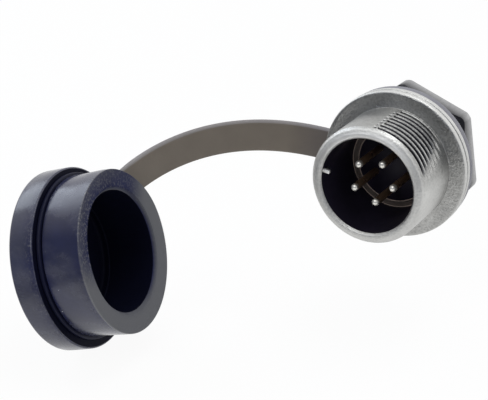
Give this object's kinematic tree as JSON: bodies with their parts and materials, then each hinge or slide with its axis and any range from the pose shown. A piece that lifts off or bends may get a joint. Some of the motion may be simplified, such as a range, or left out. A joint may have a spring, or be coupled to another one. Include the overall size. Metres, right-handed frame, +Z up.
{
  "type": "circular panel connector",
  "caption": "Sealed threaded panel receptacle with pin contacts, flange, hex nut and a rubber dust cap on a moulded strap.",
  "frame": {"origin": "centre of the flange's rear seat, on the coupling axis", "axes": "+Y along the coupling axis from the mouth towards the solder cups, +Z up, strap and cap on the -X side"},
  "size_m": [0.05, 0.0498, 0.0329],
  "materials": {
    "shell": "satin nickel on die-cast zinc",
    "contact_insert": "black glass-filled plastic, semi-gloss",
    "face_seal": "brown-grey rubber",
    "insert_seal": "black rubber",
    "clamp_disc": "black plastic",
    "snap_ring": "spring steel",
    "strap": "grey-brown moulded rubber, matt",
    "strap_loop": "grey-brown moulded rubber, matt",
    "gasket": "black rubber",
    "lock_washer": "nickel-plated steel",
    "hex_nut": "satin nickel",
    "dust_cap": "black rubber with a blue cast",
    "pin_1": "plated brass, silver tip, gold shaft",
    "pin_2": "plated brass, silver tip, gold shaft",
    "pin_3": "plated brass, silver tip, gold shaft",
    "pin_4": "plated brass, silver tip, gold shaft",
    "pin_5": "plated brass, silver tip, gold shaft"
  },
  "bodies": {
    "receptacle": {"shell": "shell", "contact_insert": "contact_insert", "face_seal": "face_seal", "insert_seal": "insert_seal", "clamp_disc": "clamp_disc", "snap_ring": "snap_ring", "pin_1": "pin_1", "pin_2": "pin_2", "pin_3": "pin_3", "pin_4": "pin_4", "pin_5": "pin_5", "gasket": "gasket"},
    "tether": {"strap": "strap"},
    "tether_loop": {"strap_loop": "strap_loop"},
    "cap": {"dust_cap": "dust_cap"},
    "washer": {"lock_washer": "lock_washer"},
    "nut": {"hex_nut": "hex_nut"}
  },
  "joints": [
    {"name": "strap_swivel", "type": "hinge", "parent": "receptacle", "child": "tether", "pos_m": [0, 0.0006, 0], "axis": [0, 1, 0], "continuous": true},
    {"name": "strap_flex", "type": "hinge", "parent": "tether", "child": "tether_loop", "pos_m": [-0.0208, -0.0045, -0.0065], "axis": [-0.2924, 0, 0.9563], "range_deg": [-25, 80], "stiffness_Nm_per_rad": 0.004, "deforming": ["strap"]},
    {"name": "cap_spin", "type": "hinge", "parent": "tether_loop", "child": "cap", "pos_m": [-0.0324, -0.0276, -0.01005], "axis": [0.9511, 0.1, 0.2924], "continuous": true},
    {"name": "washer_slide", "type": "slide", "parent": "receptacle", "child": "washer", "axis": [0, 1, 0], "range_m": [0, 0.0029]},
    {"name": "nut_turn", "type": "hinge", "parent": "washer", "child": "nut", "pos_m": [0, 0.0041, 0], "axis": [0, 1, 0], "range_deg": [0, 1008]}
  ],
  "couplings": [
    {"joint": "washer_slide", "follows": "nut_turn", "m_per_rad": 0.00015915}
  ]
}
